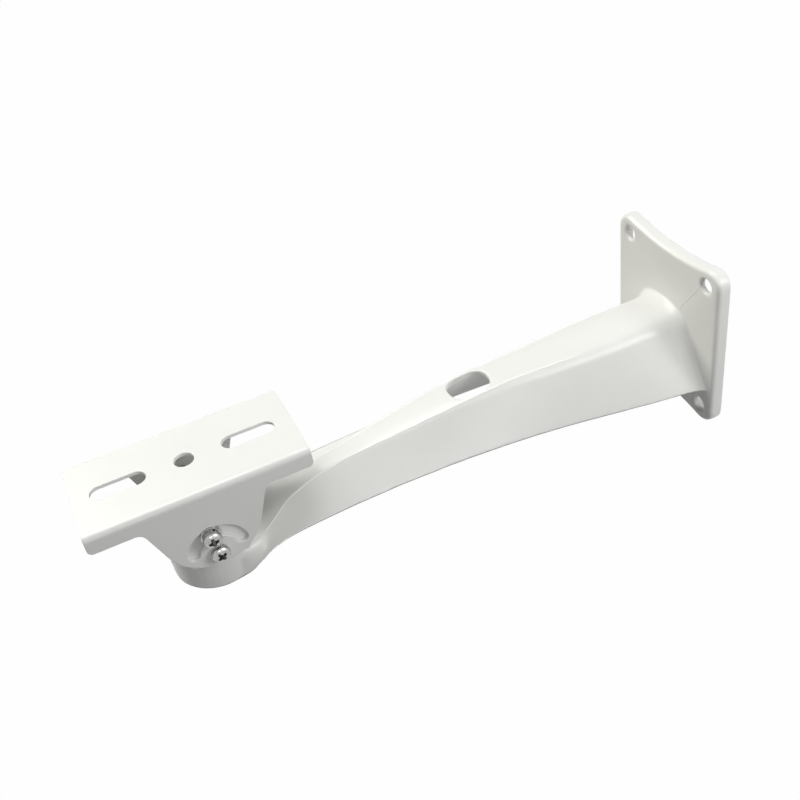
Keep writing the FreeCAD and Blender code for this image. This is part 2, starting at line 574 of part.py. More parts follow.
def build_saddle():
    """The folded saddle: slotted top plate, side strips, and a cheek on each side."""
    body = make_body("camera_saddle")
    place(body, y_place="-Sizes.arm_reach",
          z_place="Sizes.pad_top + Sizes.pivot_rise + Sizes.pivot_drop")
    half = size("saddle_length") / 2
    strip = size("strip_depth")
    corner = size("strip_corner")
    blend = size("cheek_fillet")
    lean = math.radians(size("cheek_taper"))
    tongue = size("tongue_radius")
    drop = size("tongue_drop")
    touch = (tongue * math.cos(lean), -drop - tongue * math.sin(lean))
    rise = -strip - blend - touch[1]
    blend_x = touch[0] + (blend + rise * math.sin(lean)) / math.cos(lean)
    blend_end = (blend_x - blend * math.cos(lean), -strip - blend + blend * math.sin(lean))
    sketch = add_sketch(body, "side_outline", "YZ_Plane")
    top = line(sketch, (half, 0), (-half, 0))
    parts = {}
    for side in (1, -1):
        def turned(start, end):
            return (start, end) if side > 0 else (math.pi - end, math.pi - start)
        parts[side] = (
            line(sketch, (side * half, 0), (side * half, -strip + corner)),
            arc(sketch, (side * (half - corner), -strip + corner), corner,
                *turned(-math.pi / 2, 0)),
            line(sketch, (side * (half - corner), -strip), (side * blend_x, -strip)),
            arc(sketch, (side * blend_x, -strip - blend), blend,
                *turned(math.pi / 2, math.pi - lean)),
            line(sketch, (side * blend_end[0], blend_end[1]), (side * touch[0], touch[1])))
    round_end = arc(sketch, (0, -drop), tongue, math.pi + lean, 2 * math.pi - lean)
    for side in (1, -1):
        near = 1 if side > 0 else 2
        far = 3 - near
        end, corner_arc, edge, blend_arc, taper = parts[side]
        join(sketch, "Coincident", top, near, end, 1)
        join(sketch, "Tangent", end, 2, corner_arc, far)
        join(sketch, "Tangent", corner_arc, near, edge, 1)
        join(sketch, "Tangent", edge, 2, blend_arc, near)
        join(sketch, "Tangent", blend_arc, far, taper, 1)
        join(sketch, "Tangent", taper, 2, round_end, far)
        join(sketch, "Vertical", end)
        join(sketch, "Horizontal", edge)
    join(sketch, "Symmetric", top, 1, top, 2, -2)
    join(sketch, "PointOnObject", top, 1, -1)
    join(sketch, "PointOnObject", round_end, 3, -2)
    join(sketch, "Equal", parts[1][3], parts[-1][3])
    join(sketch, "Symmetric", parts[1][1], 3, parts[-1][1], 3, -2)
    join(sketch, "Equal", parts[1][4], parts[-1][4])
    tie(sketch, "DistanceX", (-1, 1, top, 1), "half_length", "Sizes.saddle_length / 2")
    tie(sketch, "DistanceY", (parts[1][2], 1, -1, 1), "strip", "Sizes.strip_depth")
    tie(sketch, "Radius", (parts[1][1],), "corner", "Sizes.strip_corner")
    tie(sketch, "Radius", (parts[1][3],), "blend", "Sizes.cheek_fillet")
    tie(sketch, "Radius", (round_end,), "tongue", "Sizes.tongue_radius")
    tie(sketch, "DistanceY", (round_end, 3, -1, 1), "drop", "Sizes.tongue_drop")
    tie(sketch, "DistanceX", (-1, 1, parts[1][4], 2), "taper",
        "Sizes.tongue_radius * cos(Sizes.cheek_taper * 1 deg)")
    block = extrude(body, "Pad", sketch, "block", "Sizes.saddle_width", both=True)
    dress(body, "Fillet", block, "outer_bends",
          lambda edge: edge.BoundBox.ZMin > -1e-4
          and edge.BoundBox.YLength > 10 and edge.BoundBox.XLength < 1e-4,
          "Sizes.saddle_bend + Sizes.saddle_sheet")
    inside = add_sketch(body, "inside_outline", "XZ_Plane")
    arch(inside, "Sizes.saddle_width / 2 - Sizes.saddle_sheet", "-Sizes.saddle_sheet",
         "Sizes.saddle_bend", "-Sizes.saddle_length", -1)
    extrude(body, "Pocket", inside, "inside", both=True)

    top_cuts = add_sketch(body, "top_slots", "XY_Plane")
    span = size("mount_slot_span") / 2
    for name, sign, start in (("outer", "-", -span), ("inner", "", span)):
        slot(top_cuts, name, sign + "Sizes.mount_slot_span / 2",
             "Sizes.mount_slot_long - Sizes.mount_slot_wide",
             "Sizes.mount_slot_wide / 2", start)
    ring(top_cuts, "centre_hole", "Sizes.centre_hole_dia / 2")
    extrude(body, "Pocket", top_cuts, "top_openings")

    arcs = add_sketch(body, "arc_slot_outline", "YZ_Plane")
    sweep = math.radians(size("arc_half_angle"))
    middle = size("arc_radius")
    half_wide = size("arc_slot_wide") / 2
    pivot = -size("pivot_drop")
    end_y = middle * math.sin(sweep)
    end_z = pivot + middle * math.cos(sweep)
    outer = arc(arcs, (0, pivot), middle + half_wide, math.pi / 2 - sweep,
                math.pi / 2 + sweep)
    inner = arc(arcs, (0, pivot), middle - half_wide, math.pi / 2 - sweep,
                math.pi / 2 + sweep)
    cap_right = arc(arcs, (end_y, end_z), half_wide, -math.pi / 2 - sweep,
                    math.pi / 2 - sweep)
    cap_left = arc(arcs, (-end_y, end_z), half_wide, math.pi / 2 + sweep,
                   3 * math.pi / 2 + sweep)
    join(arcs, "Tangent", outer, 1, cap_right, 2)
    join(arcs, "Tangent", inner, 1, cap_right, 1)
    join(arcs, "Tangent", outer, 2, cap_left, 1)
    join(arcs, "Tangent", inner, 2, cap_left, 2)
    join(arcs, "Coincident", outer, 3, inner, 3)
    join(arcs, "PointOnObject", outer, 3, -2)
    tie(arcs, "DistanceY", (outer, 3, -1, 1), "pivot", "Sizes.pivot_drop")
    tie(arcs, "Radius", (outer,), "outside", "Sizes.arc_radius + Sizes.arc_slot_wide / 2")
    tie(arcs, "Radius", (inner,), "inside", "Sizes.arc_radius - Sizes.arc_slot_wide / 2")
    tie(arcs, "DistanceX", (-1, 1, cap_right, 3), "right_end",
        "Sizes.arc_radius * sin(Sizes.arc_half_angle * 1 deg)")
    tie(arcs, "DistanceX", (cap_left, 3, -1, 1), "left_end",
        "Sizes.arc_radius * sin(Sizes.arc_half_angle * 1 deg)")
    ring(arcs, "pivot_hole", "Sizes.screw_dia / 2 + Sizes.play", up="-Sizes.pivot_drop")
    extrude(body, "Pocket", arcs, "cheek_openings", both=True)
    return body


def build_yoke():
    """The folded yoke that turns on the pad: a flat base and two round ears."""
    body = make_body("swivel_yoke")
    place(body, y_place="-Sizes.arm_reach", z_place="Sizes.pad_top")
    radius = size("yoke_round")
    rise = size("pivot_rise")
    lift = size("yoke_lift")
    dip = math.asin(rise / radius)
    foot = radius * math.cos(dip)
    sketch = add_sketch(body, "ear_outline", "YZ_Plane")
    low = line(sketch, (-foot, 0), (foot, 0))
    low_right = arc(sketch, (0, rise), radius, -dip, 0)
    right = line(sketch, (radius, rise), (radius, rise + lift))
    high = arc(sketch, (0, rise + lift), radius, 0, math.pi)
    left = line(sketch, (-radius, rise + lift), (-radius, rise))
    low_left = arc(sketch, (0, rise), radius, math.pi, math.pi + dip)
    join(sketch, "Coincident", low, 2, low_right, 1)
    join(sketch, "Tangent", low_right, 2, right, 1)
    join(sketch, "Tangent", right, 2, high, 1)
    join(sketch, "Tangent", high, 2, left, 1)
    join(sketch, "Tangent", left, 2, low_left, 1)
    join(sketch, "Coincident", low_left, 2, low, 1)
    join(sketch, "Coincident", low_left, 3, low_right, 3)
    join(sketch, "PointOnObject", low, 1, -1)
    join(sketch, "PointOnObject", low, 2, -1)
    join(sketch, "PointOnObject", low_right, 3, -2)
    join(sketch, "PointOnObject", high, 3, -2)
    join(sketch, "Vertical", right)
    join(sketch, "Vertical", left)
    tie(sketch, "Radius", (low_right,), "round", "Sizes.yoke_round")
    tie(sketch, "DistanceY", (-1, 1, low_right, 3), "rise", "Sizes.pivot_rise")
    tie(sketch, "DistanceY", (low_right, 3, high, 3), "lift", "Sizes.yoke_lift")
    wide = "(Sizes.saddle_width - 2 * Sizes.saddle_sheet - 2 * Sizes.yoke_gap)"
    block = extrude(body, "Pad", sketch, "block", wide, both=True)
    dress(body, "Fillet", block, "outer_bends",
          lambda edge: edge.BoundBox.ZMax < 1e-4 and edge.BoundBox.YLength > 10
          and edge.BoundBox.XLength < 1e-4,
          "Sizes.yoke_bend + Sizes.yoke_sheet")
    inside = add_sketch(body, "inside_outline", "XZ_Plane")
    arch(inside, wide + " / 2 - Sizes.yoke_sheet", "Sizes.yoke_sheet", "Sizes.yoke_bend",
         "4 * Sizes.yoke_round", 1)
    extrude(body, "Pocket", inside, "inside", both=True)
    screws = add_sketch(body, "ear_holes", "YZ_Plane")
    ring(screws, "pivot_hole", "Sizes.screw_dia / 2 + Sizes.fit_gap", up="Sizes.pivot_rise")
    ring(screws, "lock_hole", "Sizes.screw_dia / 2 + Sizes.fit_gap",
         "-Sizes.lock_ahead", "Sizes.pivot_rise + Sizes.lock_rise")
    extrude(body, "Pocket", screws, "ear_holes_cut", both=True)
    base = add_sketch(body, "base_hole", "XY_Plane")
    ring(base, "bolt_hole", "Sizes.bolt_dia / 2 + Sizes.fit_gap")
    extrude(body, "Pocket", base, "base_hole_cut", both=True)
    return body


def hexagon(sketch, flats):
    """A regular hexagon about the sketch's origin, by its width across the flats."""
    round_line = sketch.addGeometry(
        Part.Circle(vector(0, 0), FreeCAD.Vector(0, 0, 1), 6.0), True)
    corners = [(6 * math.cos(math.radians(60 * number)),
                6 * math.sin(math.radians(60 * number))) for number in range(6)]
    sides = chain(sketch, corners)
    join(sketch, "Coincident", round_line, 3, -1, 1)
    for side in sides:
        join(sketch, "PointOnObject", side, 1, round_line)
    for side in sides[1:]:
        join(sketch, "Equal", sides[0], side)
    join(sketch, "Horizontal", sides[1])
    tie(sketch, "Diameter", (round_line,), "corners", flats + " * 2 / sqrt(3)")


def corner_cut(body, name, flats, level, sign):
    """Turns the sharp corners off one face of a hexagon."""
    profile = add_sketch(body, name + "_profile", "XZ_Plane")
    inner = line(profile, (5, 0), (9, 0))
    upright = line(profile, (9, 0), (9, -2 * sign))
    slope = line(profile, (9, -2 * sign), (5, 0))
    join(profile, "Coincident", inner, 2, upright, 1)
    join(profile, "Coincident", upright, 2, slope, 1)
    join(profile, "Coincident", slope, 2, inner, 1)
    join(profile, "Horizontal", inner)
    join(profile, "Vertical", upright)
    tie(profile, "DistanceX", (-1, 1, inner, 1), "inner", flats + " * 0.48")
    tie(profile, "DistanceX", (-1, 1, inner, 2), "outer", flats + " * 0.66")
    tie(profile, "DistanceY", (-1, 1, inner, 1), "level", level)
    if sign > 0:
        tie(profile, "DistanceY", (upright, 2, upright, 1), "slope", flats + " * 0.1")
    else:
        tie(profile, "DistanceY", (upright, 1, upright, 2), "slope", flats + " * 0.1")
    turn(body, "Groove", profile, name)


def build_nut(name, flats, tall, bore):
    """A hexagon nut that stands on its local origin."""
    body = make_body(name)
    outline = add_sketch(body, "outline", "XY_Plane")
    hexagon(outline, flats)
    extrude(body, "Pad", outline, "prism", tall)
    corner_cut(body, "top_corners", flats, tall, 1)
    corner_cut(body, "low_corners", flats, "0", -1)
    hole = add_sketch(body, "hole", "XY_Plane")
    ring(hole, "bore", bore)
    extrude(body, "Pocket", hole, "bore_cut", both=True)
    return body


def build_washer(name, outside, thick, bore, split=False):
    """A flat washer, or a spring washer with its cut, that lies on its local origin."""
    body = make_body(name)
    outline = add_sketch(body, "outline", "XY_Plane")
    ring(outline, "outside", outside + " / 2")
    ring(outline, "bore", bore)
    extrude(body, "Pad", outline, "disc", thick)
    if split:
        gap = add_sketch(body, "gap", "XY_Plane")
        box(gap, "gap", "0", outside, "-Sizes.split_gap / 2", "Sizes.split_gap / 2")
        extrude(body, "Pocket", gap, "gap_cut", both=True)
    return body


def build_screw(name):
    """A cross recessed pan head screw: head above its local origin, shank below."""
    body = make_body(name)
    head = add_sketch(body, "head_round", "XY_Plane")
    ring(head, "head", "Sizes.screw_head_dia / 2")
    cap = extrude(body, "Pad", head, "head", "Sizes.screw_head_tall")
    top = size("screw_head_tall")
    dress(body, "Fillet", cap, "head_dome",
          lambda edge: edge.BoundBox.ZMin > top - 1e-4, "Sizes.screw_head_tall * 0.7")
    shank = add_sketch(body, "shank_round", "XY_Plane")
    ring(shank, "shank", "Sizes.screw_dia / 2")
    rod = extrude(body, "Pad", shank, "shank", "Sizes.screw_length", flip=True)
    end = -size("screw_length")
    dress(body, "Chamfer", rod, "shank_end",
          lambda edge: edge.BoundBox.ZMax < end + 1e-4, "Sizes.screw_dia * 0.12")
    cross = add_sketch(body, "cross_outline", "XY_Plane", "Sizes.screw_head_tall")
    wing = size("cross_span") / 2
    half = size("cross_arm") / 2
    corners = [(half, half), (half, wing), (-half, wing), (-half, half), (-wing, half),
               (-wing, -half), (-half, -half), (-half, -wing), (half, -wing),
               (half, -half), (wing, -half), (wing, half)]
    sides = chain(cross, corners)
    for number, side in enumerate(sides):
        join(cross, "Horizontal" if number % 2 else "Vertical", side)
    join(cross, "Vertical", sides[0], 1, sides[8], 1)
    join(cross, "Vertical", sides[2], 1, sides[6], 1)
    join(cross, "Horizontal", sides[3], 1, sides[11], 1)
    join(cross, "Horizontal", sides[5], 1, sides[9], 1)
    tie(cross, "DistanceX", (-1, 1, sides[0], 1), "right_in", "Sizes.cross_arm / 2")
    tie(cross, "DistanceY", (-1, 1, sides[11], 2), "up_in", "Sizes.cross_arm / 2")
    tie(cross, "DistanceX", (sides[2], 1, -1, 1), "left_in", "Sizes.cross_arm / 2")
    tie(cross, "DistanceY", (sides[5], 1, -1, 1), "down_in", "Sizes.cross_arm / 2")
    tie(cross, "DistanceY", (-1, 1, sides[1], 1), "up_out", "Sizes.cross_span / 2")
    tie(cross, "DistanceX", (sides[4], 1, -1, 1), "left_out", "Sizes.cross_span / 2")
    tie(cross, "DistanceY", (sides[7], 1, -1, 1), "down_out", "Sizes.cross_span / 2")
    tie(cross, "DistanceX", (-1, 1, sides[10], 1), "right_out", "Sizes.cross_span / 2")
    extrude(body, "Pocket", cross, "cross_recess", "Sizes.cross_depth")
    return body


def build_pan_bolt():
    """The hexagon bolt that the yoke turns on: head below its local origin, shank above."""
    body = make_body("pan_bolt")
    outline = add_sketch(body, "head_outline", "XY_Plane")
    hexagon(outline, "Sizes.bolt_flats")
    extrude(body, "Pad", outline, "head", "Sizes.bolt_head_tall", flip=True)
    corner_cut(body, "head_corners", "Sizes.bolt_flats", "-Sizes.bolt_head_tall", -1)
    shank = add_sketch(body, "shank_round", "XY_Plane")
    ring(shank, "shank", "Sizes.bolt_dia / 2")
    length = ("Sizes.big_washer_thick + Sizes.pad_web + Sizes.yoke_sheet"
              " + Sizes.big_spring_thick + Sizes.pan_nut_tall + Sizes.bolt_proud")
    rod = extrude(body, "Pad", shank, "shank", length)
    top = rod.Shape.BoundBox.ZMax
    dress(body, "Chamfer", rod, "shank_end",
          lambda edge: edge.BoundBox.ZMin > top - 1e-4, "Sizes.bolt_dia * 0.1")
    return body


def side_screw_set(place_name, side, y_place, height, flat_washer):
    """A tilt screw with its washers outside the saddle and its nut inside the yoke."""
    sign = "" if side == "right" else "-"
    spin = FreeCAD.Rotation(FreeCAD.Vector(0, 1, 0), 90 if side == "right" else -90)
    face = "Sizes.saddle_width / 2"
    washer = " + Sizes.small_washer_thick" if flat_washer else ""
    inner = face + " - Sizes.saddle_sheet - Sizes.yoke_gap - Sizes.yoke_sheet"
    bore = "Sizes.screw_dia / 2 + Sizes.fit_gap"
    pieces = [
        (build_screw("%s_screw_%s" % (place_name, side)),
         face + washer + " + Sizes.small_spring_thick"),
        (build_washer("%s_spring_washer_%s" % (place_name, side), "Sizes.small_spring_dia",
                      "Sizes.small_spring_thick", bore, split=True), face + washer),
        (build_nut("%s_nut_%s" % (place_name, side), "Sizes.screw_nut_flats",
                   "Sizes.screw_nut_tall", bore), inner + " - Sizes.screw_nut_tall")]
    if flat_washer:
        pieces.append(
            (build_washer("%s_flat_washer_%s" % (place_name, side),
                          "Sizes.small_washer_dia", "Sizes.small_washer_thick", bore), face))
    for body, x_place in pieces:
        body.Placement = FreeCAD.Placement(FreeCAD.Vector(0, 0, 0), spin)
        place(body, "%s(%s)" % (sign, x_place), y_place, height)
    return [body for body, x_place in pieces]


bodies = [build_arm(), build_saddle(), build_yoke()]

bolt = build_pan_bolt()
ceiling = "Sizes.pad_top - Sizes.pad_web"
place(bolt, y_place="-Sizes.arm_reach", z_place=ceiling + " - Sizes.big_washer_thick")
pan_washer = build_washer("pan_flat_washer", "Sizes.big_washer_dia",
                          "Sizes.big_washer_thick", "Sizes.bolt_dia / 2 + Sizes.fit_gap")
place(pan_washer, y_place="-Sizes.arm_reach", z_place=ceiling + " - Sizes.big_washer_thick")
pan_spring = build_washer("pan_spring_washer", "Sizes.big_spring_dia",
                          "Sizes.big_spring_thick", "Sizes.bolt_dia / 2 + Sizes.fit_gap",
                          split=True)
place(pan_spring, y_place="-Sizes.arm_reach", z_place="Sizes.pad_top + Sizes.yoke_sheet")
pan_nut = build_nut("pan_nut", "Sizes.bolt_flats", "Sizes.pan_nut_tall",
                    "Sizes.bolt_dia / 2 + Sizes.fit_gap")
place(pan_nut, y_place="-Sizes.arm_reach",
      z_place="Sizes.pad_top + Sizes.yoke_sheet + Sizes.big_spring_thick")
bodies += [bolt, pan_washer, pan_spring, pan_nut]

tilt_height = "Sizes.pad_top + Sizes.pivot_rise"
for side_name in ("left", "right"):
    bodies += side_screw_set("pivot", side_name, "-Sizes.arm_reach", tilt_height, False)
    bodies += side_screw_set("lock", side_name, "-Sizes.arm_reach - Sizes.lock_ahead",
                             tilt_height + " + Sizes.lock_rise", True)

doc.recompute()
for item in doc.Objects:
    if "Invalid" in item.State or "Touched" in item.State:
        raise ValueError("%s is %s" % (item.Name, item.State))
os.makedirs("parts", exist_ok=True)
for body in bodies:
    shape = body.Shape
    if shape.isNull() or not shape.isValid() or len(shape.Solids) != 1:
        raise ValueError(body.Label + " isn't one valid solid")
    shape.exportStep("parts/%s.step" % body.Label)
    print(body.Label, round(shape.Volume), [round(value, 2) for value in (
        shape.BoundBox.XMin, shape.BoundBox.XMax, shape.BoundBox.YMin,
        shape.BoundBox.YMax, shape.BoundBox.ZMin, shape.BoundBox.ZMax)])
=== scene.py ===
"""Dresses the camera wall bracket: powder-coated casting and sheet pieces, zinc-plated fasteners."""
import math

import bmesh
import bpy
from mathutils import Matrix, Vector


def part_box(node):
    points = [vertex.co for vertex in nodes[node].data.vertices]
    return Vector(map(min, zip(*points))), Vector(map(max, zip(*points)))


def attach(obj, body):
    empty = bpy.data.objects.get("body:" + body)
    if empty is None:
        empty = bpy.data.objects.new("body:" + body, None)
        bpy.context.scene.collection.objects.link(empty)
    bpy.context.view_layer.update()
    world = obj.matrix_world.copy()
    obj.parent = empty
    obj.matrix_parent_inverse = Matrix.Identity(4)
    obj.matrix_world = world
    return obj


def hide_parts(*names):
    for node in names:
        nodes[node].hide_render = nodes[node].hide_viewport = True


MM = 0.001

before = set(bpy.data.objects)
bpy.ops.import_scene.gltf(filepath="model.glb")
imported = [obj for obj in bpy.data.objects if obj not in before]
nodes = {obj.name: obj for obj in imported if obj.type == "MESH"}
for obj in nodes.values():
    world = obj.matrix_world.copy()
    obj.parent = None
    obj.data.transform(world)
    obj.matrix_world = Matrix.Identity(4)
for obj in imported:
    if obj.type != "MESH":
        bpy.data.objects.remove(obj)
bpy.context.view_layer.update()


# Materials

RAMP_FROM = 0.3
RAMP_TO = 0.7
SOFT_DETAIL = 1.0
FINE_DETAIL = 3.0
BLOTCH_CELL = 45 * MM
BLOTCH_SHADE = 0.975
PATCH_CELL = 6 * MM
WAVE_CELL = 18 * MM
PEEL_CELL = 1.4 * MM
PEEL_DEPTH = 0.03 * MM
GRAIN_CELL = 0.3 * MM
GRAIN_DEPTH = 0.006 * MM
COAT_SHINY = 0.30
COAT_DULL = 0.40
CLEAR_WEIGHT = 0.15
CLEAR_ROUGHNESS = 0.15
BUMP_STRENGTH = 0.5
SPANGLE_CELL = 1.6 * MM
SPANGLE_SHADE = 0.72
RUB_CELL = 0.9 * MM
RUB_DULLS = 0.16
LAY_CELL = 0.5 * MM
LAY_DEPTH = 0.01 * MM


def shader(name):
    """A new material with its node tree, Principled shader and object coordinates."""
    material = bpy.data.materials.new(name)
    material.use_nodes = True
    tree = material.node_tree
    surface = tree.nodes["Principled BSDF"]
    place = tree.nodes.new("ShaderNodeTexCoord")
    return material, tree, surface, place.outputs["Object"]


def noise(tree, place, cell, detail=2.0, stretch=(1, 1, 1)):
    """Noise whose cells are about `cell` metres wide."""
    mapping = tree.nodes.new("ShaderNodeMapping")
    mapping.inputs["Scale"].default_value = stretch
    tree.links.new(place, mapping.inputs["Vector"])
    texture = tree.nodes.new("ShaderNodeTexNoise")
    texture.inputs["Scale"].default_value = 1 / cell
    texture.inputs["Detail"].default_value = detail
    tree.links.new(mapping.outputs["Vector"], texture.inputs["Vector"])
    return texture.outputs["Fac"]


def ramp(tree, value, low, high):
    """The middle of a noise's range spread between two colours."""
    node = tree.nodes.new("ShaderNodeValToRGB")
    first, last = node.color_ramp.elements
    first.position = RAMP_FROM
    last.position = RAMP_TO
    first.color = (*low, 1)
    last.color = (*high, 1)
    tree.links.new(value, node.inputs["Fac"])
    return node.outputs["Color"]


def grey(level):
    """A grey that stands for one number, such as a roughness."""
    return (level, level, level)


def bump(tree, height, depth, under=None):
    """A bump of `depth` metres, over an earlier one if given."""
    node = tree.nodes.new("ShaderNodeBump")
    node.inputs["Strength"].default_value = BUMP_STRENGTH
    node.inputs["Distance"].default_value = depth
    tree.links.new(height, node.inputs["Height"])
    if under is not None:
        tree.links.new(under, node.inputs["Normal"])
    return node.outputs["Normal"]


def powder_coat(name, tone, waves):
    """Glossy white powder coat: orange peel, fine grain and the slow waves of what lies under it."""
    material, tree, surface, place = shader(name)
    tint = ramp(tree, noise(tree, place, BLOTCH_CELL), [c * BLOTCH_SHADE for c in tone], tone)
    tree.links.new(tint, surface.inputs["Base Color"])
    gloss = ramp(tree, noise(tree, place, PATCH_CELL, FINE_DETAIL), grey(COAT_SHINY), grey(COAT_DULL))
    tree.links.new(gloss, surface.inputs["Roughness"])
    slow = bump(tree, noise(tree, place, WAVE_CELL, SOFT_DETAIL), waves)
    peel = bump(tree, noise(tree, place, PEEL_CELL), PEEL_DEPTH, slow)
    grain = bump(tree, noise(tree, place, GRAIN_CELL), GRAIN_DEPTH, peel)
    tree.links.new(grain, surface.inputs["Normal"])
    surface.inputs["Coat Weight"].default_value = CLEAR_WEIGHT
    surface.inputs["Coat Roughness"].default_value = CLEAR_ROUGHNESS
    return material


def zinc(name, tone, lay, rough):
    """Spangled zinc plate with faint lines; `lay` stretches their noise."""
    material, tree, surface, place = shader(name)
    tint = ramp(tree, noise(tree, place, SPANGLE_CELL), [c * SPANGLE_SHADE for c in tone], tone)
    tree.links.new(tint, surface.inputs["Base Color"])
    gloss = ramp(tree, noise(tree, place, RUB_CELL, FINE_DETAIL), grey(rough), grey(rough + RUB_DULLS))
    tree.links.new(gloss, surface.inputs["Roughness"])
    lines = bump(tree, noise(tree, place, LAY_CELL, stretch=lay), LAY_DEPTH)
    tree.links.new(lines, surface.inputs["Normal"])
    surface.inputs["Metallic"].default_value = 1
    return material


CAST = powder_coat("cast_powder_coat", (0.80, 0.80, 0.775), 0.6 * MM)
SHEET = powder_coat("sheet_powder_coat", (0.82, 0.82, 0.80), 0.2 * MM)
ZINC = zinc("zinc_plate", (0.46, 0.46, 0.45), (1, 1, 6), 0.20)
# Near-black zinc on the cross recess's faces: painted shade, standing for the dark inside a deep recess.
RECESS_PAINTED_SHADE = zinc("zinc_recess_painted_shade", (0.10, 0.10, 0.095), (1, 1, 1), 0.45)


def paint(thing, material):
    """Gives every material slot of a node or piece this material."""
    slots = thing.material_slots
    if not slots:
        thing.data.materials.append(material)
    for one in slots:
        one.material = material


for name, thing in nodes.items():
    if name == "cast_arm":
        paint(thing, CAST)
    elif name in ("camera_saddle", "swivel_yoke"):
        paint(thing, SHEET)
    else:
        paint(thing, ZINC)


# Fasteners, drawn in millimetres about +Z: the head's bearing face at 0, its drive side up

TURN_STEPS = 48
WELD = 0.0005

# Thread: rows to a pitch, how far each stands out, depth and run-out in pitches, and its tapered tip
THREAD_ROWS = 8
THREAD_SHAPE = (1, 1, 0.66, 0.33, 0, 0, 0.33, 0.66)
THREAD_DEEP = 0.61
THREAD_FADE = 0.6
TIP_NARROW = 0.8
TIP_TALL = 0.2

# Pan head: shares of its radius with the share of its height lost there, and the rim below (inset, height)
DOME = ((0.19, 0.01), (0.38, 0.045), (0.56, 0.11), (0.71, 0.19),
        (0.83, 0.28), (0.92, 0.39), (0.975, 0.5), (1.0, 0.62))
HEAD_RIM = ((0, 0.35), (0.12, 0.08), (0.3, 0))
SCREW_NECK = 0.3
SCREW_TIP = 0.3

# Cross recess at its mouth and its foot: reach in spans, half width and inner corner in arm widths
CROSS_MOUTH = (0.5, 0.5, 0.95)
CROSS_FOOT = (0.19, 0.36, 0.5)
CROSS_OVER = 0.4
CROSS_POINT = 0.5

# Hexagons: where the chamfer starts, in widths across flats, its slope, and the bolt head's dish and collar
HEX_RIM = 0.475
CHAMFER = 0.577
DISH_FLOOR = 0.72
DISH_EDGE = 0.78
DISH_DEEP = 0.25
COLLAR_TALL = 0.15
COLLAR_INSET = 0.1
BOLT_NECK = 0.5
BOLT_TIP = 0.6

# Washers: the punched edges below, the rounding above, and the lean of the spring's cut
BURR = 0.04
SHEARED = 0.06
WASHER_SOFT = 0.3
SPRING_SOFT = 0.16
SPRING_LEAN = 0.45


def polar(radius, angle, height):
    """A point at an angle and a radius about Z."""
    return radius * math.cos(angle), radius * math.sin(angle), height


def hex_radius(flats, angle):
    """How far a hexagon's side stands from its centre at an angle."""
    return flats / 2 / math.cos((angle + math.pi / 6) % (math.pi / 3) - math.pi / 6)


def hex_edge(flats, face, rim, lean):
    """A hexagon's outline where a chamfer that starts at radius `rim` on the face meets its sides."""
    def point(angle):
        radius = hex_radius(flats, angle)
        return radius, face - lean * (radius - rim)
    return point


def ring(bm, entry):
    """One turned row of vertices; a radius of 0 gives one vertex."""
    row = []
    for step in range(TURN_STEPS):
        angle = 2 * math.pi * step / TURN_STEPS
        radius, height = entry(angle) if callable(entry) else entry
        if radius == 0:
            return [bm.verts.new((0, 0, height))]
        row.append(bm.verts.new(polar(radius, angle, height)))
    return row


def skin(bm, rows):
    """Faces between each row and the next."""
    for one, other in zip(rows, rows[1:]):
        for step in range(TURN_STEPS):
            after = (step + 1) % TURN_STEPS
            upper = (one[step % len(one)], one[after % len(one)])
            lower = (other[after % len(other)], other[step % len(other)])
            bm.faces.new(list(dict.fromkeys(upper + lower)))


def tube(bm, rows):
    """Faces around rows of equal length, closed at both ends."""
    count = len(rows[0])
    for one, other in zip(rows, rows[1:]):
        for i in range(count):
            j = (i + 1) % count
            bm.faces.new((one[i], one[j], other[j], other[i]))
    bm.faces.new(rows[0][::-1])
    bm.faces.new(rows[-1])


def turned(profile, closed=False):
    """A profile of (radius, height) rows turned about Z."""
    bm = bmesh.new()
    rows = [ring(bm, entry) for entry in profile]
    skin(bm, rows + rows[:1] if closed else rows)
    return bm, rows


def add_thread(bm, top_row, top, end, diameter, pitch):
    """A right-hand thread from `top` down to `end`, joined to a row, and closed at its tip."""
    root = diameter / 2 - THREAD_DEEP * pitch
    depth = diameter / 2 - root
    count = int(THREAD_ROWS * ((top - end) / pitch + 2))
    rows = []
    for k in range(count + 1):
        row = []
        for step in range(TURN_STEPS):
            height = top - k * pitch / THREAD_ROWS + step * pitch / TURN_STEPS
            fade = min(1, max(0, min(top - height, height - end) / (THREAD_FADE * pitch)))
            radius = root + depth * fade * THREAD_SHAPE[k % THREAD_ROWS]
            angle = 2 * math.pi * step / TURN_STEPS
            row.append(bm.verts.new(polar(radius, angle, min(top, max(end, height)))))
        rows.append(row)
    last = TURN_STEPS - 1
    for k in range(count):
        for step in range(last):
            bm.faces.new((rows[k][step], rows[k][step + 1], rows[k + 1][step + 1], rows[k + 1][step]))
        upper = rows[max(k - THREAD_ROWS, 0)][0]
        lower = rows[max(k + 1 - THREAD_ROWS, 0)][0]
        bm.faces.new(list(dict.fromkeys((rows[k][last], upper, lower, rows[k + 1][last]))))
    skin(bm, [top_row, rows[0]])
    low = end - TIP_TALL * root
    skin(bm, [ring(bm, (root, end)), ring(bm, (root * TIP_NARROW, low)), ring(bm, (0, low))])


def finished(bm, name):
    """The drawn shape as a mesh: doubled vertices joined, faces turned outward."""
    bmesh.ops.remove_doubles(bm, verts=bm.verts, dist=WELD)
    bmesh.ops.dissolve_degenerate(bm, edges=bm.edges, dist=WELD)
    bmesh.ops.recalc_face_normals(bm, faces=bm.faces)
    mesh = bpy.data.meshes.new(name)
    bm.to_mesh(mesh)
    bm.free()
    return mesh


def crisp(mesh, degrees=32):
    """Smooth shading that breaks at edges sharper than this."""
    mesh.shade_smooth()
    mesh.set_sharp_from_angle(angle=math.radians(degrees))


